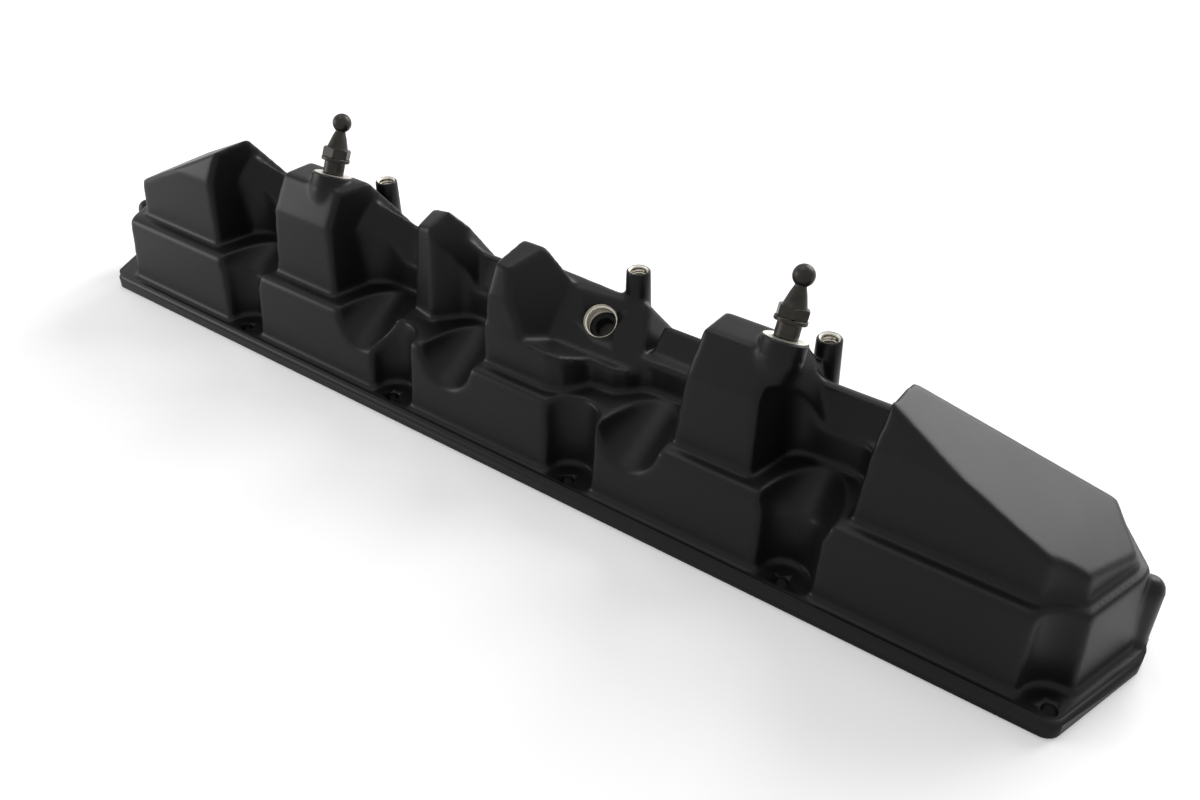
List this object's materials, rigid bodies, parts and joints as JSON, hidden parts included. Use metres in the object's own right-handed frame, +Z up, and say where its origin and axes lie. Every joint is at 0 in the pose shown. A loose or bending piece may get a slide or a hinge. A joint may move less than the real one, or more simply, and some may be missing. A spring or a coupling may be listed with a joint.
{
  "type": "engine valve cover",
  "caption": "Long black cast aluminium engine valve cover with stepped rocker towers, a bolted sealing flange, a slanted threaded breather port, threaded posts and ball studs.",
  "frame": {"origin": "Centre of the underside of the flange, in the middle of its length and width, on the plane that seats on the cylinder head.", "axes": "+X runs along the cover toward the end with the long sloping tower, +Y from the front bolt row to the rear one, +Z up away from the engine."},
  "size_m": [0.638, 0.12, 0.1411],
  "materials": {
    "black_coat": "satin black powder coat over cast aluminium, faint orange peel, bare metal in machined holes",
    "stud_steel": "dark phosphate steel, turned and hexed, worn brighter on the ball",
    "insert_metal": "bare turned metal with thread rings",
    "seal_rubber": "matt black moulded rubber",
    "baffle_steel": "pressed sheet steel, dull"
  },
  "bodies": {
    "root": {"cover": "black_coat", "ball_stud_left": "stud_steel", "ball_stud_right": "stud_steel", "post_insert_left": "insert_metal", "post_insert_middle": "insert_metal", "post_insert_right": "insert_metal", "flange_gasket": "seal_rubber", "breather_baffle": "baffle_steel", "baffle_screws": "baffle_steel"}
  },
  "joints": []
}
